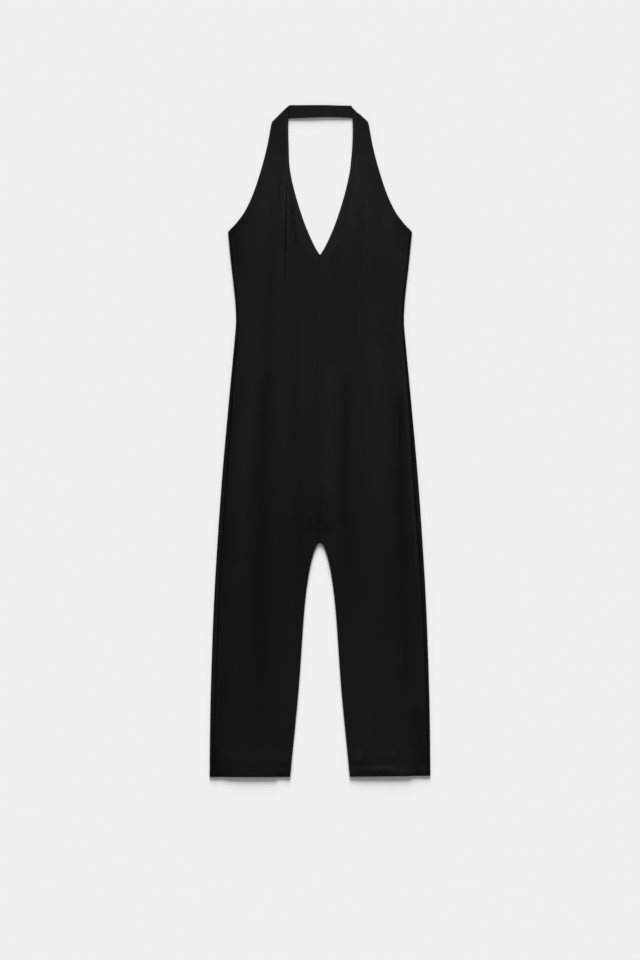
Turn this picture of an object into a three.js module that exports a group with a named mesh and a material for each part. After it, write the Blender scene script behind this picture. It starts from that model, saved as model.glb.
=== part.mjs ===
// A halter jumpsuit in black jersey, laid flat on its back, as five cut pieces.
// Millimetres, +Z up. +Y runs from the hems to the neck, +X is the wearer's left.
// The origin is on the surface that the garment lies on, under the middle of its length and width.
import * as THREE from "three";

// Driving sizes.
const LENGTH = 1344; // hem to the top of the neck band
const CROTCH = 468; // levels are heights above the hem, along the garment
const V_POINT = 1044;
const UNDERARM = 1090;
const BACK_LOW = 955; // the open back's lowest point, at the centre
const HEM_DEPTH = 25;
const CLOTH = 1.2; // one wall
const HEM_TURN = 0.6; // what the turned-up layer adds inside the hem
const GAP = 0.3; // between two pieces
const FOLD_RADIUS = 1.7; // of the side folds, to the middle of the wall
const BAND_DEPTH = 25;
const BAND_THICK = 2; // the neck band is a doubled strip
const BAND_RETURN = 2; // how far the strap goes on under its own fold

// Outlines: half widths from the centre line, a row for each level.
const SIDE_FOLD = [
  { level: 0, half: 221 }, // hem
  { level: 150, half: 219 },
  { level: 330, half: 213 }, // knee
  { level: 468, half: 205.2 }, // crotch
  { level: 610, half: 195 },
  { level: 780, half: 179.7 }, // hip
  { level: 870, half: 171.2 },
  { level: 914, half: 167.8 }, // waist
  { level: 960, half: 170.4 },
  { level: 1030, half: 178.2 },
  { level: 1090, half: 184.2 }, // underarm
];
const ARMHOLE = [
  { level: 1093, half: 181.4 },
  { level: 1106, half: 169 },
  { level: 1130, half: 151.3 },
  { level: 1166, half: 134.2 },
  { level: 1214, half: 118.2 },
  { level: 1262, half: 105.7 },
  { level: 1310, half: 96.7 }, // the strap's fold starts here
];
const NECKLINE = [
  { level: 1044, half: 0.15 }, // the V's point
  { level: 1058, half: 8.8 },
  { level: 1082, half: 20.3 },
  { level: 1106, half: 30.3 },
  { level: 1142, half: 42.4 },
  { level: 1178, half: 52.4 },
  { level: 1214, half: 59.9 },
  { level: 1250, half: 63 },
  { level: 1298, half: 64.6 },
  { level: 1344, half: 62.5 }, // the strap's fold ends here
];
// Between the legs the edge is a parabola, half = width * sqrt(drop below the crotch).
const CROTCH_ARCH = [
  { level: 0, width: 2.755 },
  { level: 210, width: 2.49 },
  { level: 400, width: 2.84 },
  { level: 468, width: 2.9 },
];
// The side seams lie on top, this far in from the side folds of the wearer's left and right.
const SEAM_INSET = [
  { level: 0, left: 5, right: 4.5 },
  { level: 150, left: 5.6, right: 6.5 },
  { level: 300, left: 6.4, right: 9.6 },
  { level: 450, left: 8.6, right: 9.8 },
  { level: 600, left: 8.7, right: 9.8 },
  { level: 714, left: 6.4, right: 8 },
  { level: 794, left: 4, right: 5.6 },
  { level: 914, left: 3.2, right: 3.2 },
  { level: 1090, left: 3, right: 3 },
];
// How high the front rides above what is under it, away from its edges.
const AIR = [
  { level: 0, air: 2.3 }, // the hems stand a little open
  { level: 120, air: 1.5 },
  { level: 468, air: 1.6 },
  { level: 780, air: 1.9 },
  { level: 914, air: 1.5 },
  { level: 1060, air: 1.9 },
  { level: 1160, air: 1.2 },
  { level: 1260, air: 0.3 },
  { level: 1344, air: 0 },
];
// Soft folds of the front: a line from one point to another, its half width and its height.
// A trough has a height below nought. x is positive on the wearer's left.
const FOLDS = [
  { from: { x: -72, level: 1200 }, to: { x: -75, level: 990 }, width: 8, height: 1.9 }, // right bust
  { from: { x: -50, level: 1120 }, to: { x: -47, level: 1040 }, width: 8, height: -0.9 },
  { from: { x: -160, level: 1080 }, to: { x: -152, level: 960 }, width: 16, height: -1.1 }, // right underarm
  { from: { x: 66, level: 1180 }, to: { x: 68, level: 1040 }, width: 8, height: 0.9 }, // left bust
  { from: { x: 82, level: 1190 }, to: { x: 84, level: 1010 }, width: 9, height: -0.9 },
  { from: { x: 112, level: 1150 }, to: { x: 112, level: 1010 }, width: 12, height: -0.8 },
  { from: { x: -107, level: 990 }, to: { x: -115, level: 560 }, width: 15, height: -1.4 }, // body, right
  { from: { x: -144, level: 760 }, to: { x: -156, level: 420 }, width: 15, height: 1.1 },
  { from: { x: -74, level: 780 }, to: { x: -72, level: 600 }, width: 12, height: 1 },
  { from: { x: -51, level: 900 }, to: { x: -50, level: 640 }, width: 11, height: -1 },
  { from: { x: -41, level: 550 }, to: { x: -43, level: 410 }, width: 12, height: -1 },
  { from: { x: 22, level: 780 }, to: { x: 18, level: 580 }, width: 12, height: 1.1 }, // body, left
  { from: { x: 52, level: 790 }, to: { x: 50, level: 560 }, width: 11, height: -1.3 },
  { from: { x: 115, level: 840 }, to: { x: 114, level: 420 }, width: 20, height: 1.2 },
  { from: { x: 161, level: 730 }, to: { x: 166, level: 420 }, width: 11, height: -1.5 },
  { from: { x: -114, level: 540 }, to: { x: -116, level: 220 }, width: 15, height: -1.2 }, // right leg
  { from: { x: -190, level: 420 }, to: { x: -197, level: 150 }, width: 10, height: -1 },
  { from: { x: 57, level: 540 }, to: { x: 62, level: 350 }, width: 12, height: -1 }, // left leg
  { from: { x: 166, level: 380 }, to: { x: 172, level: 200 }, width: 14, height: -1.1 },
  { from: { x: 72, level: 24 }, to: { x: 88, level: 56 }, width: 7, height: 1 }, // left hem
  { from: { x: 92, level: 60 }, to: { x: 126, level: 82 }, width: 12, height: 0.9 },
  { from: { x: 140, level: 56 }, to: { x: 154, level: 34 }, width: 8, height: 0.8 },
];
const FOLD_END = 60; // a fold dies away over this length past each end
const EDGE_EASE = 24; // the front comes down to what is under it over this width at its edges
const ROLL_REACH = 14; // how far in the roll of the side fold lifts the front
const STRAP_CLIMB = { from: 1268, to: 1306 }; // the levels between which the strap climbs onto the band

// A table's column at any level, on a smooth curve through its rows.
function at(table, column, level) {
  const last = table.length - 1;
  const clamped = Math.min(Math.max(level, table[0].level), table[last].level);
  let i = 0;
  while (i < last - 1 && table[i + 1].level < clamped) i += 1;
  const slope = (a, b) => (table[b][column] - table[a][column]) / (table[b].level - table[a].level);
  const tangent = (k) => slope(Math.max(k - 1, 0), Math.min(k + 1, last));
  const span = table[i + 1].level - table[i].level;
  const t = (clamped - table[i].level) / span;
  return (
    table[i][column] * (2 * t ** 3 - 3 * t ** 2 + 1) +
    tangent(i) * span * (t ** 3 - 2 * t ** 2 + t) +
    table[i + 1][column] * (3 * t ** 2 - 2 * t ** 3) +
    tangent(i + 1) * span * (t ** 3 - t ** 2)
  );
}

// Rises smoothly from 0 to 1 as a value goes from one number to another.
function rise(value, from, to) {
  const t = Math.min(Math.max((value - from) / (to - from), 0), 1);
  return t * t * (3 - 2 * t);
}

// A soft bump: 1 at nought, and nearly 0 at twice its width.
function bump(distance, width) {
  return Math.exp(-((distance / width) ** 2));
}

// The inner edge of a leg and of the centre seams, from the hem up.
function innerEdge(level) {
  const drop = Math.max(CROTCH - level, 0);
  return Math.max(at(CROTCH_ARCH, "width", level) * Math.sqrt(drop), GAP / 2);
}

// About how far a point is from the arch between the legs.
function fromArch(x, level) {
  const squared = at(CROTCH_ARCH, "width", level) ** 2;
  return (x * x / squared + level - CROTCH) / Math.hypot(1, (2 * x) / squared);
}

// The seams' bulk lifts both panels at the edges between the legs, most at the crotch.
function edgeLift(x, level) {
  const inseamLift = 0.9;
  const crotchLift = 2;
  const reach = 11;
  const most = inseamLift + (crotchLift - inseamLift) * rise(level, CROTCH - 110, CROTCH - 20);
  return most * bump(Math.max(fromArch(x, level), 0), reach);
}

// Where the cloth's arc round the side fold has its middle.
function foldAxis(level) {
  return at(SIDE_FOLD, "half", level) - FOLD_RADIUS - CLOTH / 2;
}

// The open back's edge: a scoop from underarm to underarm.
function backEdge(x) {
  return BACK_LOW + (UNDERARM - BACK_LOW) * Math.min(x / foldAxis(UNDERARM), 1) ** 2;
}

// How much of the back's thickness holds the front up here: 1 over the back, 0 past its edge.
function overBack(x, level) {
  const settle = 30; // the front comes down to the surface over this length past the edge
  return 1 - rise(level - backEdge(x), 0, settle);
}

// The side seam's distance from the centre.
function sideSeam(side, level) {
  return at(SIDE_FOLD, "half", level) - at(SEAM_INSET, side > 0 ? "left" : "right", level);
}

// One soft fold's height at a point.
function foldHeight(fold, x, level) {
  const dx = fold.to.x - fold.from.x;
  const dy = fold.to.level - fold.from.level;
  const long = Math.hypot(dx, dy);
  const along = ((x - fold.from.x) * dx + (level - fold.from.level) * dy) / long;
  const across = ((x - fold.from.x) * dy - (level - fold.from.level) * dx) / long;
  const past = Math.max(-along, along - long, 0);
  return fold.height * bump(across, fold.width) * (1 - rise(past, 0, FOLD_END));
}

// The height of the middle of the front's wall. x is from the centre, side is 1 on the wearer's left.
function frontHeight(side, x, level) {
  const fromSide = sideSeam(side, level) - x;
  const fromNeckline = level < V_POINT ? EDGE_EASE : x - at(NECKLINE, "half", level);
  const fromOuter = level < UNDERARM ? fromSide : at(ARMHOLE, "half", level) - x;
  const fromEdges = [fromArch(x, level), fromNeckline, fromOuter];
  const free = fromEdges.reduce((share, distance) => share * rise(distance, 0, EDGE_EASE), 1);
  const soft = FOLDS.reduce((sum, fold) => sum + foldHeight(fold, side * x, level), 0);

  const rolled = bump(fromSide, ROLL_REACH) * (1 - rise(level, UNDERARM, UNDERARM + 45));
  const lying = CLOTH / 2 + edgeLift(x, level) + (CLOTH + GAP) * overBack(x, level);
  const sideRoll = (2 * FOLD_RADIUS - CLOTH - GAP) * rolled;
  const overHem = 2 * HEM_TURN * (1 - rise(level, HEM_DEPTH + 5, HEM_DEPTH + 35)) * (1 - rolled);
  const overBand = (BAND_THICK + GAP) * rise(level, STRAP_CLIMB.from, STRAP_CLIMB.to);
  return lying + sideRoll + overHem + overBand + free * Math.max(at(AIR, "air", level) + soft, 0);
}

// A wall with a thickness, from the points of its middle in rows. plus and minus are what lies
// on each side of the middle, plus being where (next in row) x (next row) points.
function wall(rows, plus, minus) {
  const across = rows[0].length;
  const step = (i, j, di, dj) => {
    const next = rows[Math.min(i + di, rows.length - 1)][Math.min(j + dj, across - 1)];
    return next.clone().sub(rows[Math.max(i - di, 0)][Math.max(j - dj, 0)]);
  };
  const position = [];
  rows.forEach((row, i) =>
    row.forEach((point, j) => {
      const normal = step(i, j, 0, 1).cross(step(i, j, 1, 0)).normalize();
      position.push(...point.clone().addScaledVector(normal, plus(point)).toArray());
      position.push(...point.clone().addScaledVector(normal, -minus(point)).toArray());
    }),
  );
  const index = [];
  const above = (i, j) => 2 * (i * across + j);
  const below = (i, j) => above(i, j) + 1;
  const quad = (a, b, c, d) => index.push(a, b, c, a, c, d);
  const lastRow = rows.length - 1;
  const lastPoint = across - 1;
  for (let i = 0; i < lastRow; i += 1) {
    for (let j = 0; j < lastPoint; j += 1) {
      quad(above(i, j), above(i, j + 1), above(i + 1, j + 1), above(i + 1, j));
      quad(below(i, j), below(i + 1, j), below(i + 1, j + 1), below(i, j + 1));
    }
    quad(above(i, 0), above(i + 1, 0), below(i + 1, 0), below(i, 0));
    quad(below(i, lastPoint), below(i + 1, lastPoint), above(i + 1, lastPoint), above(i, lastPoint));
  }
  for (let j = 0; j < lastPoint; j += 1) {
    quad(below(0, j), below(0, j + 1), above(0, j + 1), above(0, j));
    quad(above(lastRow, j), above(lastRow, j + 1), below(lastRow, j + 1), below(lastRow, j));
  }
  const geometry = new THREE.BufferGeometry();
  geometry.setAttribute("position", new THREE.Float32BufferAttribute(position, 3));
  geometry.setIndex(index);
  return geometry;
}

// Turns a piece made for the wearer's left into the one for the right.
function mirrored(geometry) {
  geometry.scale(-1, 1, 1);
  const index = geometry.index.array;
  for (let i = 0; i < index.length; i += 3) [index[i + 1], index[i + 2]] = [index[i + 2], index[i + 1]];
  return geometry;
}

// Even steps from one value to another, without the last.
function steps(from, to, count) {
  return Array.from({ length: count }, (_, i) => from + ((to - from) * i) / count);
}

// Columns from the inner edge to the outer one, closer together at both. The first ones are
// the same in a front and the back under it.
function columns(inner, outer, count) {
  const full = 140; // a narrower panel has its close columns drawn together
  const scale = Math.min((outer - inner) / full, 1);
  const near = [0, 4, 9, 16].map((offset) => inner + offset * scale);
  const far = [outer - 7 * scale, outer];
  const between = steps(inner + 27 * scale, far[0], count - near.length - far.length);
  return [...near, ...between, ...far];
}

// The levels of a leg's rows: the hem's, and then rows that crowd towards the crotch, where the
// arch turns.
function legLevels() {
  const hem = [0, HEM_DEPTH, HEM_DEPTH + 4];
  const start = 52;
  const curved = steps(0, 1, 14).map((t) => start + (CROTCH - start) * (1 - (1 - t) ** 2));
  return [...hem, ...curved];
}

// The levels of the rows from the crotch to the underarm, the same in the fronts and the backs.
function bodyLevels() {
  return [...steps(CROTCH, V_POINT, 14), ...steps(V_POINT, UNDERARM, 3), UNDERARM];
}

// What lies on the two sides of a panel's middle: half the cloth, and the turn-up inside the hem.
const outside = () => CLOTH / 2;
const inside = (point) => CLOTH / 2 + (point.y + LENGTH / 2 <= HEM_DEPTH ? HEM_TURN : 0);

// The strap's fold runs from the end of the armhole to the end of the neckline.
const endOf = (edge) => new THREE.Vector2(edge.at(-1).half, edge.at(-1).level);
const FOLD_OUT = endOf(ARMHOLE);
const FOLD_IN = endOf(NECKLINE);
const FOLD_NORMAL = new THREE.Vector2(FOLD_IN.y - FOLD_OUT.y, FOLD_OUT.x - FOLD_IN.x).normalize();
const STRAP_RADIUS = (BAND_THICK + GAP) / 2; // to the middle of the wall

// A front: leg, body and halter strap in one, from the centre seam or neckline to the side or armhole.
function front(side) {
  const across = 18;
  const blendFrom = 1214; // above this level the rows turn towards the strap's fold
  const startIn = FOLD_IN.clone().addScaledVector(FOLD_NORMAL, -STRAP_RADIUS - CLOTH / 2);
  const startOut = FOLD_OUT.clone().addScaledVector(FOLD_NORMAL, -STRAP_RADIUS - CLOTH / 2);
  const levels = [
    ...legLevels(),
    ...bodyLevels(),
    ...steps(ARMHOLE[0].level, blendFrom, 7),
    ...steps(blendFrom, startIn.y, 6),
    startIn.y,
  ];
  const rows = levels.map((level) => {
    const turned = Math.max(level - blendFrom, 0) * ((startOut.y - blendFrom) / (startIn.y - blendFrom));
    const outerLevel = Math.min(level, blendFrom) + turned;
    const inner = level < V_POINT ? innerEdge(level) : at(NECKLINE, "half", level);
    const outer = level < ARMHOLE[0].level ? sideSeam(side, level) : at(ARMHOLE, "half", outerLevel);
    return columns(inner, outer, across).map((x) => {
      const y = level + ((outerLevel - level) * (x - inner)) / (outer - inner);
      return new THREE.Vector3(x, y - LENGTH / 2, frontHeight(side, x, y));
    });
  });
  // The last row gives way to the fold's own: the cloth goes round it and a little way back under.
  const turns = [
    ...steps(90, -90, 6).map((angle) => ({ angle, back: 0 })),
    { angle: -90, back: BAND_RETURN / 3 },
    { angle: -90, back: BAND_RETURN },
  ];
  rows.pop();
  turns.forEach(({ angle, back }) => {
    const radians = THREE.MathUtils.degToRad(angle);
    const out = STRAP_RADIUS * Math.cos(radians) - back;
    const z = CLOTH / 2 + STRAP_RADIUS * (1 + Math.sin(radians));
    rows.push(
      columns(0, 1, across).map((share) => {
        const on = startIn.clone().lerp(startOut, share).addScaledVector(FOLD_NORMAL, out);
        return new THREE.Vector3(on.x, on.y - LENGTH / 2, z);
      }),
    );
  });
  const geometry = wall(rows, outside, inside);
  return side < 0 ? mirrored(geometry) : geometry;
}

// A back: leg and seat in one. It lies flat, goes round the side fold and meets the front on top.
function back(side) {
  const across = 12;
  const turnFrom = 850; // above this level the rows turn towards the scooped edge
  const nearFold = 6; // the last column comes this near to the side fold's arc
  const line = (levelAt) => {
    const level = levelAt(foldAxis(UNDERARM));
    const flat = columns(innerEdge(level), foldAxis(level) - nearFold, across).map((x) => {
      return new THREE.Vector3(x, levelAt(x) - LENGTH / 2, CLOTH / 2 + edgeLift(x, levelAt(x)));
    });
    const round = [...steps(-90, 90, 6), 90].map((angle) => {
      const radians = THREE.MathUtils.degToRad(angle);
      const x = foldAxis(level) + FOLD_RADIUS * Math.cos(radians);
      const z = CLOTH / 2 + FOLD_RADIUS * (1 + Math.sin(radians));
      return new THREE.Vector3(x, level - LENGTH / 2, z);
    });
    const seam = sideSeam(side, level) + GAP;
    return [...flat, ...round, new THREE.Vector3(seam, level - LENGTH / 2, CLOTH / 2 + 2 * FOLD_RADIUS)];
  };
  const straight = bodyLevels().filter((level) => level < turnFrom);
  const turning = bodyLevels().filter((level) => level >= turnFrom);
  const shareOf = (level) => (level - turning[0]) / (UNDERARM - turning[0]);
  const rows = [
    ...[...legLevels(), ...straight].map((level) => line(() => level)),
    ...turning.map((level) => line((x) => turning[0] + (backEdge(x) - turning[0]) * shareOf(level))),
  ];
  const geometry = wall(rows, inside, outside);
  return side < 0 ? mirrored(geometry) : geometry;
}

// The band behind the neck: a doubled strip from one strap's fold to the other's.
function band() {
  const setIn = STRAP_RADIUS + CLOTH / 2 + BAND_RETURN + GAP;
  const endAt = (level) => {
    const on = FOLD_OUT.clone().addScaledVector(FOLD_NORMAL, -setIn);
    return on.x - ((level - on.y) * FOLD_NORMAL.y) / FOLD_NORMAL.x;
  };
  const across = 12;
  const rows = [0, 0.5, 1].map((share) => {
    const level = LENGTH - BAND_DEPTH * (1 - share);
    const points = [...steps(-endAt(level), endAt(level), across), endAt(level)];
    return points.map((x) => new THREE.Vector3(x, level - LENGTH / 2, BAND_THICK / 2));
  });
  const half = () => BAND_THICK / 2;
  return wall(rows, half, half);
}

// Jersey: black, matt, with a soft nap.
function jersey() {
  return new THREE.MeshStandardMaterial({ color: 0x18181a, roughness: 0.86, metalness: 0 });
}

const jumpsuit = new THREE.Group();
const pieces = [
  ["front_left", front(1)],
  ["front_right", front(-1)],
  ["back_left", back(1)],
  ["back_right", back(-1)],
  ["neck_band", band()],
];
pieces.forEach(([name, geometry]) => {
  const mesh = new THREE.Mesh(geometry, jersey());
  mesh.name = name;
  jumpsuit.add(mesh);
});

export default jumpsuit;
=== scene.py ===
# A halter-neck jumpsuit in black jersey, laid flat on its back and seen from straight above.
# Sizes are in millimetres, as the pattern cutter has them, and become metres when a mesh is made.
# +Y runs from the hems to the neck and +X is the wearer's left. A level is a height above the hems.
import math
from bisect import bisect_right
from collections import namedtuple

import bmesh
import bpy
from mathutils import Matrix, Vector, noise


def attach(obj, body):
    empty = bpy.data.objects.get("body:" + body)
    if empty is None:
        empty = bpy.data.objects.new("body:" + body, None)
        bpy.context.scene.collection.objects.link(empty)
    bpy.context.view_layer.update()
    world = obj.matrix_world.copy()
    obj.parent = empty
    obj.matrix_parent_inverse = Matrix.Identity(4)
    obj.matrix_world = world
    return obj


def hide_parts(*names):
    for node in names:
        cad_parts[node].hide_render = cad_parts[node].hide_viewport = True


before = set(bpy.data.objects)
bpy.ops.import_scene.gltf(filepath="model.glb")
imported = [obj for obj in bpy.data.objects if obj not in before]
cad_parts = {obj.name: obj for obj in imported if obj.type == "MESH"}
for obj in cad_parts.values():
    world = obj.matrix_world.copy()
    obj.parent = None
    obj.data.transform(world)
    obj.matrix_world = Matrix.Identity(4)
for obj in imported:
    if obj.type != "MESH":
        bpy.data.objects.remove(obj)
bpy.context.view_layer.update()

# Back panels
# Each is leg and seat in one, cut from viscose jersey, with a low scooped edge at the open back.
# It lies flat on its right side, goes round the side fold and meets the front in a seam on top.
# Its hem is turned up inside. The seams are overlocked and turned in, so both edges dip into them.

LEFT = 1
RIGHT = -1
SIDE_NAMES = {LEFT: "left", RIGHT: "right"}  # the wearer's
LENGTH = 1344
CROTCH = 468
UNDERARM = 1090
BACK_LOW = 955
CLOTH = 0.8
LAYER = 0.9  # from the middle of one layer to that of the next one
HEM_DEPTH = 25
SIDE_RADIUS = 2.3  # of the side fold, outside
SIDE_GAP = 0.3  # between the front's edge and the back's, in the side seam
LIP = 1.3  # how wide the edge is that turns into the centre seam
SIDE_LIP = 2  # and into a side seam
LIP_DROP = 0.5  # how far such an edge turns in
BACK_TONE = 0.95
MM = 0.001  # a millimetre in metres
TWIN_STITCHES = (19.5, 24)  # levels of the two rows that hold the hem

# A spot's tone holds the cloth's own uneven tone together with painted light and shade.
Spot = namedtuple("Spot", "place grain nap")  # where cloth lies, its place in the cut, and its tone


def curve(points):
    """A smooth curve through {level: value}, as a function of the level."""
    levels = list(points)
    values = list(points.values())
    last = len(levels) - 1

    def slope(a, b):
        return (values[b] - values[a]) / (levels[b] - levels[a])

    def value_at(level):
        level = min(max(level, levels[0]), levels[last])
        i = min(bisect_right(levels, level) - 1, last - 1)
        span = levels[i + 1] - levels[i]
        t = (level - levels[i]) / span
        start = slope(max(i - 1, 0), i + 1) * span
        end = slope(i, min(i + 2, last)) * span
        return (
            values[i] * (2 * t**3 - 3 * t**2 + 1)
            + start * (t**3 - 2 * t**2 + t)
            + values[i + 1] * (3 * t**2 - 2 * t**3)
            + end * (t**3 - t**2)
        )

    return value_at


def rise(value, start, end):
    """From 0 to 1, smoothly, as a value goes from start to end."""
    t = min(max((value - start) / (end - start), 0), 1)
    return t * t * (3 - 2 * t)


def bump(distance, width):
    """1 at nought, and nearly 0 at twice the width."""
    return math.exp(-((distance / width) ** 2))


# The side folds' distance from the centre line, by level.
side_fold = curve(
    {0: 221, 150: 219, 330: 213, 468: 205.2, 610: 195, 780: 179.7, 870: 171.2, 914: 167.8}
    | {960: 170.4, 1030: 178.2, 1090: 184.2}
)
# The arch between the legs is nearly a parabola. This is the half width that it would have a
# millimetre below its top, by level.
arch_width = curve({0: 2.755, 210: 2.49, 400: 2.84, 468: 2.9})
# How far the side seams lie in from the side folds.
seam_inset = {
    LEFT: curve(
        {0: 5, 150: 5.6, 300: 6.6, 450: 8.6, 600: 8.8, 660: 7.6}
        | {714: 6.2, 794: 4, 914: 3.2, 1090: 3}
    ),
    RIGHT: curve(
        {0: 4.5, 80: 7.4, 160: 9.6, 300: 10.3, 450: 10, 600: 9.9}
        | {714: 8, 794: 5.6, 914: 3.2, 1090: 3}
    ),
}


def inner_edge(level):
    """The inseam up to the crotch, and then the centre seam."""
    drop = max(CROTCH - level, 0)
    return arch_width(level) * math.sqrt(drop)


def from_arch(x, level):
    """About how far a point is from the arch between the legs."""
    squared = arch_width(level) ** 2
    return (x * x / squared + level - CROTCH) / math.hypot(1, 2 * x / squared)


def seam_bulk(x, level):
    """How much the inseam's bulk lifts both panels at their edges, most of all at the crotch."""
    inseam_lift = 0.9
    crotch_lift = 2
    reach = 11
    most = inseam_lift + (crotch_lift - inseam_lift) * rise(level, CROTCH - 110, CROTCH - 20)
    return most * bump(max(from_arch(x, level), 0), reach)


def side_seam(side, level):
    """The side seam's distance from the centre line."""
    return side_fold(level) - seam_inset[side](level)


def fold_axis(level):
    """What the side fold turns about."""
    return side_fold(level) - SIDE_RADIUS


def back_edge(x):
    """The open back's edge, a scoop from underarm to underarm."""
    return BACK_LOW + (UNDERARM - BACK_LOW) * min(x / fold_axis(UNDERARM), 1) ** 2


def hem_slant(side, x, level):
    """How much higher the wearer's left hem lies towards its side. The right one is square."""
    slant = 0.013
    start = 30  # from the centre line
    top = 120
    return slant * max(x - start, 0) * (1 - rise(level, 0, top)) if side == LEFT else 0


def needle_dent(level):
    """How far the hem's two rows of stitches draw the cloth in."""
    deepest = 0.15
    width = 1.1
    return sum(deepest * bump(level - row, width) for row in TWIN_STITCHES)


def shares(count, crowding=0.8):
    """Shares from 0 to 1 that lie closer together near both ends."""
    steps = [i / (count - 1) for i in range(count)]
    return [t - crowding * math.sin(2 * math.pi * t) / (2 * math.pi) for t in steps]


def hem_rows():
    """The turned-up hem from its cut edge to its fold, as pairs of a level and a depth inside."""
    inside = [(level, LAYER) for level in (HEM_DEPTH, 19, 13, 7, 3)]
    radius = LAYER / 2
    fold = []
    for degrees in range(-90, 91, 30):
        turn = math.radians(degrees)
        fold.append((CLOTH / 2 + radius * (1 - math.cos(turn)), radius * (1 - math.sin(turn))))
    return inside + fold


def leg_levels():
    """Levels from the hem's fold to the crotch, closest together at the hem and the crotch."""
    near_hem = [3, 5.5, 8, 11, 14, 16.5, 18, 19.5, 21, 22.5, 24, 25.5, 27, 29, 32, 36, 41, 47]
    rows = 84
    start = 53
    curved = [start + (CROTCH - start) * (1 - (1 - i / rows) ** 2) for i in range(rows)]
    return near_hem + curved


def body_levels(start, end, step):
    """Even levels from start up to end, without the end."""
    count = math.ceil((end - start) / step)
    return [start + (end - start) * i / count for i in range(count)]


def cloth_panel(name, rows):
    """A panel of cloth from rows of spots, as a grid whose corners go where the spots are."""
    lines = len(rows) - 1
    columns = len(rows[0]) - 1
    half = 0.5  # the plain grid is a square of side 1 about its middle
    panel = bmesh.new()
    grain = panel.loops.layers.uv.new("grain")
    nap = panel.verts.layers.float.new("nap")
    bmesh.ops.create_grid(panel, x_segments=columns, y_segments=lines, size=half)
    spots = {}
    for vert in panel.verts:
        row = rows[round((vert.co.y + half) * lines)]
        spot = row[round((vert.co.x + half) * columns)]
        spots[vert] = spot
        vert.co = spot.place * MM
        vert[nap] = spot.nap
    for face in panel.faces:
        face.smooth = True
        for loop in face.loops:
            loop[grain].uv = spots[loop.vert].grain * MM
    bmesh.ops.recalc_face_normals(panel, faces=panel.faces)
    mesh = bpy.data.meshes.new(name)
    panel.to_mesh(mesh)
    panel.free()
    piece = bpy.data.objects.new(name, mesh)
    bpy.context.scene.collection.objects.link(piece)
    wall = piece.modifiers.new("cloth", "SOLIDIFY")
    wall.thickness = CLOTH * MM
    wall.offset = 0
    edges = piece.modifiers.new("soft edges", "BEVEL")
    edges.width = 0.2 * MM
    edges.segments = 2
    edges.limit_method = "ANGLE"
    edges.angle_limit = math.radians(60)
    return piece


def knit_height(nodes, links):
    """The height of jersey's right side: columns of V stitches along the panel's grain."""
    wales_a_metre = 1250.0
    courses_a_metre = 1500.0
    lean = 1.6  # courses that the leg of a V would climb over a whole wale
    roundness = 0.5  # the power by which a stitch rises from the groove beside it

    def reckon(operation, first, second=0.0):
        node = nodes.new("ShaderNodeMath")
        node.operation = operation
        for socket, value in zip(node.inputs, (first, second)):
            if isinstance(value, float):
                socket.default_value = value
            else:
                links.new(value, socket)
        return node.outputs[0]

    grain = nodes.new("ShaderNodeUVMap")
    grain.uv_map = "grain"
    split = nodes.new("ShaderNodeSeparateXYZ")
    links.new(grain.outputs["UV"], split.inputs[0])
    wale = reckon("FRACT", reckon("MULTIPLY", split.outputs["X"], wales_a_metre))
    from_middle = reckon("ABSOLUTE", reckon("SUBTRACT", wale, 0.5))
    course = reckon("MULTIPLY", split.outputs["Y"], courses_a_metre)
    slanted = reckon("ADD", course, reckon("MULTIPLY", from_middle, lean))
    stitch = reckon("ADD", reckon("SINE", reckon("MULTIPLY", slanted, 2 * math.pi)), 1.5)
    from_groove = reckon("SUBTRACT", 1.0, reckon("MULTIPLY", from_middle, 2.0))
    return reckon("MULTIPLY", stitch, reckon("POWER", from_groove, roundness))


def jersey_material():
    """Black viscose jersey, matt with a soft nap, its tone and painted shade worked out for each
    spot.
    """
    material = bpy.data.materials.new("black jersey")
    material.use_nodes = True
    nodes = material.node_tree.nodes
    links = material.node_tree.links
    shader = nodes["Principled BSDF"]
    shader.inputs["Roughness"].default_value = 0.85
    shader.inputs["Specular IOR Level"].default_value = 0.03
    shader.inputs["Sheen Weight"].default_value = 0.04
    shader.inputs["Sheen Roughness"].default_value = 0.5

    # The attribute carries each spot's tone with its painted light and shade.
    nap = nodes.new("ShaderNodeAttribute")
    nap.attribute_name = "nap"
    place = nodes.new("ShaderNodeTexCoord")
    fibres = nodes.new("ShaderNodeTexNoise")
    fibres.inputs["Scale"].default_value = 900
    fibres.inputs["Detail"].default_value = 3
    links.new(place.outputs["Object"], fibres.inputs["Vector"])
    mottle = nodes.new("ShaderNodeMapRange")
    mottle.inputs["To Min"].default_value = 0.86
    mottle.inputs["To Max"].default_value = 1.14
    links.new(fibres.outputs["Fac"], mottle.inputs["Value"])
    tone = nodes.new("ShaderNodeMath")
    tone.operation = "MULTIPLY"
    links.new(nap.outputs["Fac"], tone.inputs[0])
    links.new(mottle.outputs["Result"], tone.inputs[1])
    dye = nodes.new("ShaderNodeVectorMath")
    dye.operation = "SCALE"
    dye.inputs[0].default_value = (0.0061, 0.0061, 0.0061)
    links.new(tone.outputs[0], dye.inputs["Scale"])
    links.new(dye.outputs[0], shader.inputs["Base Color"])

    knit = nodes.new("ShaderNodeBump")
    knit.inputs["Strength"].default_value = 0.35
    knit.inputs["Distance"].default_value = 0.1 * MM
    links.new(knit_height(nodes, links), knit.inputs["Height"])
    links.new(knit.outputs["Normal"], shader.inputs["Normal"])
    return material


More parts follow.
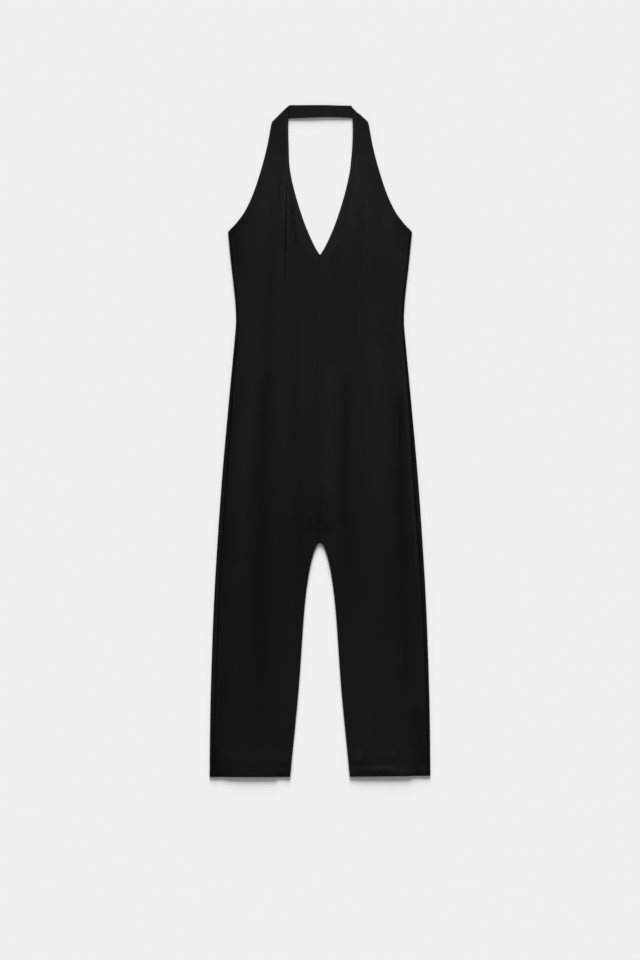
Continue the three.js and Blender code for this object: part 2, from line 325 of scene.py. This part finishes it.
def back_spots(side, level_at, depth):
    """One row of a back panel, from the centre over the side fold to the side seam."""
    outer_level = level_at(fold_axis(UNDERARM))
    axis = fold_axis(outer_level)
    inner = inner_edge(outer_level)
    flat_end = axis - 3
    spots = []

    def add(x, level, height, across, shade):
        corner = rise(level, UNDERARM - 6, UNDERARM) * max(side_fold(UNDERARM) - x, 0)
        if height > SIDE_RADIUS:
            level += corner  # the strip beside the seam runs up into the armhole's line
        place = Vector((side * x, level + hem_slant(side, x, level) - LENGTH / 2, height))
        # The back's tone, less the painted shade at its edges.
        spots.append(Spot(place, Vector((side * across, level)), BACK_TONE - shade))

    # The flat part, whose inner edge turns up into the inseam or the centre seam and is painted
    # darker there, as shade in the seam.
    for share in shares(64):
        x = inner + (flat_end - inner) * share
        level = level_at(x)
        lip = bump(x - inner, LIP)
        height = CLOTH / 2 + depth + seam_bulk(x, level) + LIP_DROP * lip
        if depth == 0:
            height += needle_dent(level)
        add(x, level, height, x, 0.4 * lip)
    # Round the side fold, painted darker at its rim, as shade where the cloth turns down.
    radius = SIDE_RADIUS - CLOTH / 2 - depth
    for degrees in range(-90, 91, 15):
        turn = math.radians(degrees)
        x = axis + radius * math.cos(turn)
        height = SIDE_RADIUS + radius * math.sin(turn)
        painted_rim_shade = bump(axis + radius - x, 1.5)
        add(x, outer_level, height, axis + radius * (turn + math.pi / 2), 0.75 * painted_rim_shade)
    # The strip on top, whose edge turns down into the side seam and is painted darker there, as
    # shade in the seam.
    seam = side_seam(side, outer_level) + SIDE_GAP
    over = axis + radius * math.pi
    for share in (0.3, 0.55, 0.75, 0.9, 1):
        x = axis + (seam - axis) * share
        lip = bump(x - seam, SIDE_LIP)
        add(x, outer_level, SIDE_RADIUS + radius - 0.8 * lip, over + axis - x, 0.8 * lip)
    return spots


def back_panel(side):
    """A back panel's rows: the turned-up hem, the leg, and the seat up to the scooped edge."""
    turn_from = 850  # above this level the rows turn towards the scooped edge
    turning_rows = 24

    def straight_row(at_level, depth):
        return back_spots(side, lambda x: at_level, depth)

    def turning_row(share):
        return back_spots(side, lambda x: turn_from + (back_edge(x) - turn_from) * share, 0)

    rows = [straight_row(level, depth) for level, depth in hem_rows()]
    rows += [straight_row(level, 0) for level in leg_levels()]
    rows += [straight_row(level, 0) for level in body_levels(CROTCH, turn_from, 8)]
    rows += [turning_row(i / turning_rows) for i in range(turning_rows + 1)]
    return cloth_panel(f"back_panel_{SIDE_NAMES[side]}", rows)


jersey = jersey_material()
for side in (LEFT, RIGHT):
    piece = back_panel(side)
    piece.data.materials.append(jersey)
    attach(piece, "root")
    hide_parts(f"back_{SIDE_NAMES[side]}")

# Front panels
# Each is leg, body and halter strap in one, with the edges of the neckline and armhole turned in.
# They are joined down the centre front. At the top each strap folds over on a diagonal, round the
# neck band, and goes back under itself. The cloth lies in long soft folds down the body and legs.

V_POINT = 1044
ARMHOLE_LOW = UNDERARM + 3  # the armhole's edge starts here, above the side seam's end
ARMHOLE_TOP = 1310
EDGE_EASE = 24  # over this width the front comes down to what is under it at its edges
TURNED_IN = 3  # from a turned-in edge to the ridge that its inner layer makes
STRAP_RETURN = 2  # how far the strap goes back under itself

# The edges' distances from the centre line, by level.
neckline = curve(
    {V_POINT: 0, 1058: 8.8, 1082: 20.3, 1106: 30.3, 1142: 42.4, 1178: 52.4, 1214: 59.9}
    | {1250: 63, 1298: 64.6, LENGTH: 62.5}
)
armhole = curve(
    {ARMHOLE_LOW: 181.4, 1106: 169, 1130: 151.3, 1166: 134.2, 1214: 118.2, 1262: 105.7}
    | {ARMHOLE_TOP: 96.7}
)
# How far both sides of the neckline lie to the wearer's left.
neck_shift = curve({1230: 0, 1262: 0.9, 1318: 0.9, 1340: 0})
# How high the front rides above what is under it, away from its edges.
air = curve(
    {0: 2.3, 120: 1.5, 468: 1.6, 780: 1.9, 914: 1.5}
    | {1060: 1.9, 1160: 1.2, 1260: 0.3, 1344: 0}
)
# The centre seam doesn't lie quite straight: it wanders to the wearer's right below the V. It is
# pressed open, and sinks in most at the crotch and just below the waist.
seam_wander = curve({500: 0, 640: -1.2, 780: -3.6, 860: -4.2, 950: -3.4, 1010: -1.2, 1044: 0})
seam_sink = curve(
    {460: 1, 480: 0.5, 505: 0.4, 540: 0.12, 740: 0.1, 790: 0.45}
    | {860: 0.4, 910: 0.12, 1044: 0.1}
)
# Just inside the side seam the front stands up a little on the wearer's left, and dips on the
# right; it is painted lighter where it stands up and darker where it dips.
seam_ridge = {
    LEFT: curve({300: 0, 400: 1.8, 480: 2.6, 540: 2.3, 660: 1.9, 760: 1.3, 880: 0.5, 960: 0}),
    RIGHT: curve({120: 0, 200: -0.5, 400: -0.9, 600: -0.8, 700: -0.5, 800: 0}),
}
# Painted light by level: the cloth is painted lighter towards the neck and darker down the legs, as
# the light from beyond the neck would fall.
painted_light_by_level = curve(
    {0: 0.88, 60: 0.88, 250: 0.87, 450: 0.83, 560: 0.93, 650: 1.04, 720: 1.12, 820: 1.22, 930: 1.28}
    | {1060: 1.33, 1120: 1.42, 1220: 1.55, 1290: 1.5, 1344: 1.42}
)

# Folds run from one point to another and die away over a length past each end. A trough's height
# is below nought. Each fold is also painted into the tone: painted shade in a trough and a painted
# highlight on a ridge, also near edges where the cloth can't rise or dip.
Fold = namedtuple("Fold", "from_x from_level to_x to_level width height ending")
SOFT_FOLDS = [
    Fold(-74, 1200, -75, 1120, 8, 0.4, 50),  # right bust
    Fold(-50, 1120, -47, 1040, 8, -0.25, 50),
    Fold(-45, 1150, -36, 1080, 8, 0.35, 40),
    Fold(-160, 1080, -156, 1000, 16, -1.1, 50),  # right underarm and strap
    Fold(-178, 1090, -170, 1036, 13, -1.3, 40),
    Fold(-178, 1094, -158, 1112, 14, -1.6, 16),
    Fold(-126, 1060, -124, 930, 10, 0.35, 40),
    Fold(-142, 1124, -138, 1092, 10, -0.6, 24),
    Fold(-106, 1214, -110, 1070, 12, 0.4, 40),
    Fold(-86, 1270, -88, 1240, 10, 0.3, 20),
    Fold(70, 1200, 67, 1110, 9, 0.45, 50),  # left bust
    Fold(68, 1060, 66, 940, 10, -0.3, 40),
    Fold(85, 1100, 82, 1010, 7, -0.2, 50),
    Fold(90, 1190, 90, 1120, 9, 0.35, 30),
    Fold(118, 1150, 114, 1020, 11, -0.25, 60),
    Fold(24, 1040, 38, 990, 16, -0.5, 30),
    Fold(166, 1090, 168, 1062, 17, -1.2, 26),  # left underarm
    Fold(176, 1096, 158, 1112, 13, -1.3, 16),
    Fold(108, 1234, 114, 1198, 8, -0.4, 16),
    Fold(78, 1280, 78, 1244, 11, 0.45, 20),  # straps, at their ends
    Fold(76, 1320, 92, 1296, 10, -0.7, 14),
    Fold(-86, 1306, -84, 1294, 10, -0.4, 14),
    Fold(-96, 1050, -102, 800, 11, -1, 50),  # body, right
    Fold(-106, 760, -115, 580, 15, -1.35, 60),
    Fold(-148, 700, -156, 420, 15, 1.1, 60),
    Fold(-164, 880, -160, 720, 18, -0.5, 40),
    Fold(-128, 960, -132, 880, 14, 0.3, 40),
    Fold(-74, 760, -72, 540, 12, 0.6, 50),
    Fold(-51, 900, -50, 640, 11, -0.5, 60),
    Fold(-30, 815, -34, 750, 18, 0.35, 40),
    Fold(-56, 620, -58, 530, 10, 0.35, 40),
    Fold(-41, 550, -43, 410, 12, -0.6, 60),
    Fold(22, 780, 18, 580, 12, 1.1, 60),  # body, left
    Fold(16, 670, 14, 600, 14, 0.4, 30),
    Fold(29, 640, 28, 560, 8, 0.35, 30),
    Fold(53, 764, 48, 520, 10, -1.3, 50),
    Fold(48, 570, 41, 512, 7, -0.4, 16),
    Fold(70, 990, 70, 830, 8, -0.45, 50),
    Fold(138, 870, 138, 720, 24, -0.6, 40),
    Fold(104, 926, 104, 856, 14, 0.3, 30),
    Fold(115, 820, 114, 560, 20, 1.05, 60),
    Fold(108, 500, 112, 340, 16, 0.5, 40),
    Fold(150, 600, 152, 530, 9, -0.5, 30),
    Fold(161, 730, 166, 440, 11, -1.75, 60),
    Fold(-2, 545, -2, 505, 7, -0.6, 20),  # crotch
    Fold(-8, 483, 5, 480, 8, -0.9, 8),
    Fold(-18, 498, 15, 492, 14, -1.2, 12),
    Fold(-70, 474, -70, 442, 14, 0.35, 20),
    Fold(-116, 510, -120, 220, 15, -1.3, 60),  # right leg
    Fold(-119, 200, -120, 130, 8, -0.55, 40),
    Fold(-166, 400, -168, 320, 14, 0.4, 40),
    Fold(-44, 410, -46, 360, 9, 0.35, 30),
    Fold(-138, 230, -138, 200, 12, 0.3, 20),
    Fold(-74, 210, -72, 90, 12, 0.25, 40),
    Fold(-191, 340, -197, 150, 11, -0.7, 60),
    Fold(-196, 180, -198, 74, 14, -0.5, 30),
    Fold(-60, 390, -52, 90, 22, 0.35, 60),
    Fold(57, 490, 61, 370, 12, -0.55, 50),  # left leg
    Fold(146, 350, 148, 290, 11, -0.3, 40),
    Fold(167, 360, 172, 200, 13, -0.9, 60),
    Fold(100, 118, 98, 70, 16, 0.9, 30),
    # The hems' corners are darkened by painted shade, as the cloth lies flat so near an edge.
    Fold(-219, 46, -212, 0, 25, -3.3, 30),  # corners of the hems
    Fold(-180, 16, -90, 16, 16, -0.25, 20),
    Fold(-82, 1, -60, 0, 5.5, -2.3, 8),
    Fold(-66, 22, -63, 0, 13, -0.9, 12),
    Fold(194, 110, 202, 6, 19, -1.4, 40),
    Fold(98, 13, 156, 13, 7, 0.9, 26),  # left hem, which rolls a little
    Fold(110, 15, 140, 15, 6.5, 0.9, 12),
    Fold(142, 7, 174, 8, 6, 1.1, 10),
    Fold(200, 18, 207, 12, 5, 0.9, 8),
    Fold(104, 4.5, 124, 4.5, 4, -0.6, 8),
    Fold(72, 4.5, 98, 4.5, 4, -0.5, 8),
]
CREASES = [
    Fold(-67, 1174, -69.6, 1002, 1.6, -2.3, 14),  # right bust, pressed in
    Fold(-67.8, 1114, -68.6, 1064, 1.9, -1.4, 26),
    Fold(-70.4, 1192, -72.8, 1112, 2.2, 1.2, 24),
    Fold(-64.6, 1178, -62.8, 1068, 2.4, 1.1, 20),
    Fold(-80, 1184, -80, 1142, 4, -0.5, 16),
    Fold(-66.6, 1308, -67, 1196, 1.6, 1.3, 8),  # and up the strap to the band
    Fold(71, 1306, 68.5, 1262, 2, 0.5, 8),  # left strap
    Fold(-59, 1174, -55.5, 1130, 2.6, -0.7, 14),  # right bust, beside the neckline
    Fold(-55.5, 1126, -53, 1096, 2.6, -0.9, 10),
    Fold(-50.6, 1084, -48, 1062, 2.6, -1, 8),
    Fold(-58, 1054, -46, 1056, 2, -0.5, 6),
    Fold(-46, 1118, -42, 1078, 3, 0.4, 14),
    Fold(75, 1230, 76, 1140, 4, 0.5, 26),  # left bust
    Fold(95.3, 1164, 95, 1104, 1.8, 0.5, 12),
    Fold(85, 1138, 85, 1100, 2.6, -0.5, 14),
    Fold(82, 1062, 81, 1010, 2.2, -0.4, 14),
    Fold(119, 1150, 119, 1098, 4, -0.5, 16),
    Fold(54, 1146, 54, 1112, 2.6, -0.5, 14),
    Fold(-1, 1042, -1, 1031, 3.5, -0.9, 6),  # below the V
    Fold(160, 716, 160, 663, 3, -0.9, 26),  # left hip, where the side seam is pushed in
    Fold(-1, 513, -1, 508, 3.5, -0.9, 4),  # crotch
    Fold(11, 494, 12, 492, 3, -0.7, 4),
    Fold(-6, 486, -6.5, 476, 1.5, -1.2, 4),
    Fold(75, 33, 86, 51, 4.5, 1.3, 8),  # left hem, where the stitching pulls
    Fold(139, 55, 149, 36, 4, 0.8, 10),
    Fold(117, 43, 131, 43, 3.6, 0.6, 8),
    Fold(118, 37, 136, 37, 1.7, -0.25, 6),
    Fold(119, 31, 134, 31, 1.7, -0.2, 6),
    Fold(147, 22.5, 161, 22.5, 2.2, 0.6, 4),
    Fold(184, 0.5, 212, 0.5, 1.6, -2.4, 4),
    Fold(81, 26, 91, 26, 3.6, -0.5, 6),
    Fold(-130, 22, -120, 22, 2, 0.45, 5),  # right hem
    Fold(-114, 24, -76, 24, 2, -0.12, 10),
    Fold(-181, 28, -179, 28, 2.5, -0.5, 4),
    Fold(-76, 22, -74, 22, 3, -0.5, 4),
]


def fold_height(fold, x, level):
    """One fold's height at a point."""
    dx = fold.to_x - fold.from_x
    dy = fold.to_level - fold.from_level
    length = math.hypot(dx, dy)
    along = ((x - fold.from_x) * dx + (level - fold.from_level) * dy) / length
    across = ((x - fold.from_x) * dy - (level - fold.from_level) * dx) / length
    past = max(-along, along - length, 0)
    reach = 3 * fold.width
    if past >= fold.ending or abs(across) > reach:
        return 0
    return fold.height * bump(across, fold.width) * (1 - rise(past, 0, fold.ending))


def neck_edge(side, level):
    """The neckline's distance from the centre line."""
    return neckline(level) + side * neck_shift(level)


def edge_distances(side, x, level):
    """How far a point of the front is from its inner, neckline and outer edges."""
    from_neckline = x - neck_edge(side, level) if level >= V_POINT else EDGE_EASE
    outer = armhole(level) if level >= UNDERARM else side_seam(side, level)
    return max(from_arch(x, level), 0), from_neckline, outer - x


def front_relief(side, x, level):
    """The folds, the creases and the cloth's unevenness at a point, each up or down."""
    soft = sum(fold_height(fold, side * x, level) for fold in SOFT_FOLDS)
    sharp = sum(fold_height(fold, side * x, level) for fold in CREASES)
    across, along = 34, 210  # how long the uneven places are
    drift = 0.35 * noise.noise(Vector((side * x / across, level / along, 3)))
    return soft, sharp, drift


def seam_lip(side, x, level):
    """How much the cloth turns down into a seam here: most at a side seam's edge."""
    at_centre = bump(x - inner_edge(level), LIP) * (1 - rise(level, V_POINT - 8, V_POINT))
    at_centre *= seam_sink(level)
    at_side = 1.3 * bump(side_seam(side, level) - x, SIDE_LIP)
    return max(at_centre, at_side * (1 - rise(level, UNDERARM - 3, UNDERARM + 3)))


def front_height(side, x, level, relief):
    """The height of the middle of the front's cloth."""
    soft, sharp, drift = relief
    from_inner, from_neckline, from_outer = edge_distances(side, x, level)
    armhole_ease = EDGE_EASE * (1 + rise(level, UNDERARM - 60, UNDERARM))
    free = rise(from_inner, 0, EDGE_EASE) * rise(from_neckline, 0, EDGE_EASE)
    free *= rise(from_outer, 0, armhole_ease)
    near = rise(from_inner, 0, 6) * rise(from_neckline, 0, 4) * rise(from_outer, 0, 6)
    side_inset = side_seam(side, level) - x
    rolled = bump(side_inset, 14) * (1 - rise(level, UNDERARM, UNDERARM + 45))
    over_back = 1.5 * (1 - rise(level - back_edge(x), 0, 120))
    over_fold = 1.9 * rolled
    over_hem = 1.2 * (1 - rise(level, HEM_DEPTH + 5, HEM_DEPTH + 35)) * (1 - rolled)
    over_band = 2.3 * rise(level, 1236, 1306)
    height = CLOTH + seam_bulk(x, level) + over_back + over_fold + over_hem + over_band
    lift = free * max(air(level) + soft + drift, 0) + near * sharp
    lowest = -0.3  # where a crease meets what is under it
    return height + max(lift, lowest)


def front_edges(side, x, level):
    """The ridge inside a turned-in edge, painted shade at the rim of an open edge, and the ridge at
    a side seam.
    """
    _, from_neckline, from_outer = edge_distances(side, x, level)
    ridge = 0
    painted_rim_shade = bump(min(from_neckline, level), 1.3)
    beside_seam = 0
    if level > V_POINT:
        bare = 1 - rise(level, 1304, 1318)  # of the neck band
        ridge += bare * bump(from_neckline - TURNED_IN, 1.5)
    if level > UNDERARM:
        ridge += 0.3 * bump(from_outer - TURNED_IN, 1.4)
        painted_rim_shade = max(painted_rim_shade, bump(from_outer, 1.3))
    elif level < UNDERARM:
        beside_seam = seam_ridge[side](level) * bump(from_outer - 5.6, 3)
    return ridge, painted_rim_shade, beside_seam


def front_spot(side, x, level, depth=0):
    """A point of a front panel, at a depth inside its outer layer."""
    relief = front_relief(side, x, level)
    soft, sharp, drift = relief
    lip = seam_lip(side, x, level)
    ridge, painted_rim_shade, beside_seam = front_edges(side, x, level)
    height = front_height(side, x, level, relief) + 0.3 * (ridge + beside_seam) - LIP_DROP * lip
    height -= depth if depth else needle_dent(level)
    inner_share = 1 - rise(x - inner_edge(level), 0, 70)
    wander = seam_wander(level) * inner_share
    # Painted light and shade that follow the relief: folds, ridges, the ridge inside a turned-in
    # edge and the rise beside a side seam are painted lighter, troughs, creases and dips darker.
    shade = 1 + 0.2 * soft + 0.25 * sharp + 0.15 * drift + 0.7 * ridge + 0.2 * beside_seam
    darkest_shade = 0.2
    # Painted light: the wearer's left is painted a little lighter than the right.
    painted_light_side = 0.045  # the wearer's left is a little lighter than the right
    tone = painted_light_by_level(level) * (1 + painted_light_side * side) * max(shade, darkest_shade)
    # Painted shade: darker where the cloth turns down into a seam and at the rim of an open edge.
    tone *= (1 - 0.6 * lip) * (1 - 0.7 * painted_rim_shade)
    y = level + hem_slant(side, x, level) - LENGTH / 2
    return Spot(Vector((side * x + wander, y, height)), Vector((side * x, level)), tone)


# The sharp crease on the wearer's right, which the columns of that front gather at.
CREASE_LOW = 985
CREASE_TOP = 1200
crease_place = curve({CREASE_LOW: 69.8, 1000: 69.6, 1176: 67, CREASE_TOP: 66.6})


def gathered(side, x, level):
    """Where a column goes: several times closer together along the bust crease."""
    if side == LEFT or not CREASE_LOW < level < CREASE_TOP:
        return x
    ending = 20
    from_crease = x - crease_place(level)
    pull = 0.75 * rise(level, CREASE_LOW, CREASE_LOW + ending)
    pull *= 1 - rise(level, CREASE_TOP - ending, CREASE_TOP)
    return x - from_crease * pull * bump(from_crease, 6)


# The strap's fold runs from the end of the armhole to the end of the neckline.
FOLD_OUT = Vector((armhole(ARMHOLE_TOP), ARMHOLE_TOP))
FOLD_IN = Vector((neckline(LENGTH), LENGTH))
FOLD_NORMAL = Vector((FOLD_IN.y - FOLD_OUT.y, FOLD_OUT.x - FOLD_IN.x)).normalized()
STRAP_RADIUS = 1.35  # to the middle of the cloth
# How far the fold is dented, by the share of the way along it from the neckline.
fold_dent = {
    LEFT: curve({0: 0.7, 0.2: 3, 0.55: 0.8, 1: 0}),
    RIGHT: curve({0: 0.9, 0.2: 0.2, 1: 0}),
}


def front_panel(side):
    """A front panel's rows, from the hem's cut edge to the strap's end under its own fold."""
    places = shares(144)
    turn_from = 1214  # above this level the rows turn towards the strap's fold
    set_in = STRAP_RADIUS + CLOTH / 2
    start_in = FOLD_IN - FOLD_NORMAL * set_in
    start_out = FOLD_OUT - FOLD_NORMAL * set_in

    def dented(spot, share, amount):
        shift = FOLD_NORMAL * fold_dent[side](share) * amount
        return spot._replace(place=spot.place - Vector((side * shift.x, shift.y, 0)))

    def straight_row(level, depth=0):
        past = max(level - turn_from, 0) / (start_in.y - turn_from)
        outer_level = min(level, turn_from) + past * (start_out.y - turn_from)
        inner = neck_edge(side, level) if level >= V_POINT else inner_edge(level)
        outer = armhole(outer_level) if outer_level >= ARMHOLE_LOW else side_seam(side, level)
        row = []
        for share in places:
            x = gathered(side, inner + (outer - inner) * share, level)
            spot = front_spot(side, x, level + (outer_level - level) * share, depth)
            row.append(dented(spot, share, rise(level, start_in.y - 30, start_in.y)))
        return row

    def fold_row(degrees, back):
        turn = math.radians(degrees)
        out = STRAP_RADIUS * math.cos(turn) - back
        height = CLOTH / 2 + STRAP_RADIUS * (1 + math.sin(turn))
        run = STRAP_RADIUS * (math.pi / 2 - turn) + back
        row = []
        for share in places:
            start = start_in.lerp(start_out, share)
            on = start + FOLD_NORMAL * out
            cut = start + FOLD_NORMAL * run
            place = Vector((side * on.x, on.y - LENGTH / 2, height))
            spot = Spot(place, Vector((side * cut.x, cut.y)), painted_light_by_level(cut.y))
            row.append(dented(spot, share, 1))
        return row

    levels = leg_levels() + body_levels(CROTCH, V_POINT, 7.5)
    levels += body_levels(V_POINT, ARMHOLE_LOW, 3) + body_levels(ARMHOLE_LOW, turn_from, 3.6)
    levels += body_levels(turn_from, start_in.y, 3.4)
    rows = [straight_row(level, depth) for level, depth in hem_rows()]
    rows += [straight_row(level) for level in levels]
    rows += [fold_row(degrees, 0) for degrees in range(90, -91, -20)]
    rows += [fold_row(-90, STRAP_RETURN * share) for share in (0.5, 1)]
    return cloth_panel(f"front_panel_{SIDE_NAMES[side]}", rows)


for side in (LEFT, RIGHT):
    piece = front_panel(side)
    piece.data.materials.append(jersey)
    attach(piece, "root")
    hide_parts(f"front_{SIDE_NAMES[side]}")

# Hem stitches
# Two rows of black polyester thread, sewn with a twin needle through both layers of each hem.
# Each stitch is 3 mm long and lies in the dent that the needle and thread pull into the cloth.

STITCH_STEP = 3.6
STITCH_LENGTH = 3
THREAD = 0.45
THREAD_RISE = 0.02  # how far the thread's middle stands out of the cloth
STITCH_INSET = 4  # from the seams at both ends of a row


def thread_material():
    """Spun polyester thread: black, a little smoother than the jersey, with its twist."""
    material = bpy.data.materials.new("black thread")
    material.use_nodes = True
    nodes = material.node_tree.nodes
    links = material.node_tree.links
    shader = nodes["Principled BSDF"]
    shader.inputs["Roughness"].default_value = 0.55
    shader.inputs["Specular IOR Level"].default_value = 0.06
    place = nodes.new("ShaderNodeTexCoord")
    turned = nodes.new("ShaderNodeMapping")
    turned.inputs["Rotation"].default_value = (0, 0, math.radians(35))
    twist = nodes.new("ShaderNodeTexWave")
    twist.inputs["Scale"].default_value = 1100
    ply = nodes.new("ShaderNodeMix")
    ply.data_type = "RGBA"
    ply.inputs["A"].default_value = (0.004, 0.004, 0.004, 1)
    ply.inputs["B"].default_value = (0.009, 0.009, 0.009, 1)
    relief = nodes.new("ShaderNodeBump")
    relief.inputs["Strength"].default_value = 0.5
    relief.inputs["Distance"].default_value = 0.1 * MM
    links.new(place.outputs["Object"], turned.inputs["Vector"])
    links.new(turned.outputs["Vector"], twist.inputs["Vector"])
    links.new(twist.outputs["Fac"], ply.inputs["Factor"])
    links.new(ply.outputs["Result"], shader.inputs["Base Color"])
    links.new(twist.outputs["Fac"], relief.inputs["Height"])
    links.new(relief.outputs["Normal"], shader.inputs["Normal"])
    return material


def hem_stitches(side, layer, height_at):
    """Both rows of stitches on one side of a hem, as one piece."""
    half_sizes = Vector((STITCH_LENGTH / 2, THREAD / 2, 0.8 * THREAD / 2)) * MM
    shape = Matrix.Diagonal((*half_sizes, 1))
    stitches = bmesh.new()
    for level in TWIN_STITCHES:
        start = inner_edge(level) + STITCH_INSET
        count = int((side_seam(side, level) - STITCH_INSET - start) / STITCH_STEP)
        for i in range(count):
            x = start + STITCH_STEP * i
            y = level + hem_slant(side, x, level) - LENGTH / 2
            centre = Vector((side * x, y, height_at(x, level))) * MM
            bmesh.ops.create_uvsphere(
                stitches,
                u_segments=6,
                v_segments=4,
                radius=1,
                matrix=Matrix.Translation(centre) @ shape,
            )
    for face in stitches.faces:
        face.smooth = True
    name = f"hem_stitches_{layer}_{SIDE_NAMES[side]}"
    mesh = bpy.data.meshes.new(name)
    stitches.to_mesh(mesh)
    stitches.free()
    piece = bpy.data.objects.new(name, mesh)
    bpy.context.scene.collection.objects.link(piece)
    return piece


thread = thread_material()
for side in (LEFT, RIGHT):

    def on_front(x, level, side=side):
        return front_spot(side, x, level).place.z + CLOTH / 2 + THREAD_RISE

    def on_back(x, level):
        return needle_dent(level) - THREAD_RISE

    for layer, height_at in (("front", on_front), ("back", on_back)):
        piece = hem_stitches(side, layer, height_at)
        piece.data.materials.append(thread)
        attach(piece, "root")

# Neck band
# A doubled strip of the same jersey behind the neck, folded along its top edge, with its two
# lower edges turned in and sewn together. Its ends are sewn into the folds of the straps.

BAND_DEPTH = 25
BAND_THICK = 1.7
BAND_EDGE = 0.41  # from the band's middle to its turned-in edges, which nearly touch
BAND_END = 1.3  # how far inside the strap's fold the band ends
BAND_HEIGHT = 1.75  # its middle, held between the two layers of each strap's end


def neck_band():
    """The band's rows go round it: up its underside, over the fold and down its top."""
    on = FOLD_OUT - FOLD_NORMAL * BAND_END
    layer = (BAND_THICK - CLOTH) / 2

    def end_at(level):
        return on.x - (level - on.y) * FOLD_NORMAL.y / FOLD_NORMAL.x

    def band_row(from_top, height, run):
        level = LENGTH - from_top
        low = from_top / BAND_DEPTH
        row = []
        for share in [2 * s - 1 for s in shares(60)]:
            x = end_at(level) * share
            middle = max(1 - (x / 62) ** 2, 0)
            # The lower edge sags at its wearer's right end, and the top dips a little at the left.
            lower_edge = (1.8 * middle - 1.1 - 1.3 * (1 - rise(x, -30, 20))) * low
            tilt = -rise(x, 6, 50) * (1 - low)
            y = level + lower_edge + tilt - LENGTH / 2
            # Uneven, with a lighter patch, and as light as the bodice's painted light near the
            # neck. Painted shade darkens both folded edges and the right end, which lies under the
            # strap's fold.
            tone = 1.35 + 0.12 * noise.noise(Vector((x / 14, level / 30, 8)))
            tone += 0.14 * bump(x - 20, 10) * bump(from_top - 17, 3.5)
            tone -= 0.5 * (bump(from_top - BAND_DEPTH, 1.5) + bump(from_top, 1.3))
            tone -= 0.2 * (1 - rise(x, -63, -57))
            place = Vector((x, y, BAND_HEIGHT + 0.9 * middle + height))
            row.append(Spot(place, Vector((x, run)), tone))
        return row

    down = [23, 21, 17, 12, 7, 3, 1.7]
    rows = [band_row(BAND_DEPTH - 0.5, -BAND_EDGE, 0), band_row(BAND_DEPTH - 1.2, -layer, 1)]
    rows += [band_row(from_top, -layer, BAND_DEPTH - from_top) for from_top in down]
    for degrees in range(-90, 91, 30):
        turn = math.radians(degrees)
        rows.append(
            band_row(
                CLOTH / 2 + layer * (1 - math.cos(turn)),
                layer * math.sin(turn),
                BAND_DEPTH + layer * turn,
            )
        )
    rows += [band_row(from_top, layer, BAND_DEPTH + from_top) for from_top in reversed(down)]
    rows += [
        band_row(BAND_DEPTH - 1.2, layer, 2 * BAND_DEPTH - 1),
        band_row(BAND_DEPTH - 0.5, BAND_EDGE, 2 * BAND_DEPTH),
    ]
    return cloth_panel("neck_band_strip", rows)


band = neck_band()
band.data.materials.append(jersey)
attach(band, "root")
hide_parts("neck_band")

# Studio
# The garment lies on a plain pale surface under broad, soft light from beyond its neck, and is
# photographed from straight above. One pixel of the 640 x 960 picture is 2 mm on the surface.

FLOOR_TONE = 0.8
FLOOR_SIZE = 6
FLOOR_LEVEL = -0.1 * MM
WINDOW_TILT = 68.5  # degrees from straight above, towards the neck
WINDOW_WIDTH = 29  # degrees that the window fills
CAMERA_HEIGHT = 4.803
FRAME_MIDDLE = -0.078  # of the picture, along Y

floor_mesh = bmesh.new()
bmesh.ops.create_grid(floor_mesh, x_segments=1, y_segments=1, size=FLOOR_SIZE)
bmesh.ops.translate(floor_mesh, verts=floor_mesh.verts, vec=(0, 0, FLOOR_LEVEL))
mesh = bpy.data.meshes.new("floor")
floor_mesh.to_mesh(mesh)
floor_mesh.free()
floor = bpy.data.objects.new("floor", mesh)
bpy.context.scene.collection.objects.link(floor)
paper = bpy.data.materials.new("pale paper")
paper.use_nodes = True
paper_shader = paper.node_tree.nodes["Principled BSDF"]
paper_shader.inputs["Base Color"].default_value = (FLOOR_TONE, FLOOR_TONE, FLOOR_TONE, 1)
paper_shader.inputs["Roughness"].default_value = 1
paper_shader.inputs["Specular IOR Level"].default_value = 0
floor.data.materials.append(paper)

world = bpy.data.worlds.new("studio")
world.use_nodes = True
sky = world.node_tree.nodes["Background"]
sky.inputs["Color"].default_value = (1, 1, 1, 1)
sky.inputs["Strength"].default_value = 0.33
bpy.context.scene.world = world

window = bpy.data.lights.new("window", "SUN")
window.energy = 6.51
window.angle = math.radians(WINDOW_WIDTH)
window_object = bpy.data.objects.new("window", window)
window_object.rotation_euler = (math.radians(-WINDOW_TILT), 0, 0)
bpy.context.scene.collection.objects.link(window_object)

camera = bpy.data.cameras.new("camera")
camera.lens = 90
camera.sensor_width = 36
camera.clip_end = 20
camera_object = bpy.data.objects.new("camera", camera)
camera_object.location = (0, FRAME_MIDDLE, CAMERA_HEIGHT)
bpy.context.scene.collection.objects.link(camera_object)
bpy.context.scene.camera = camera_object
bpy.context.scene.view_settings.view_transform = "Standard"
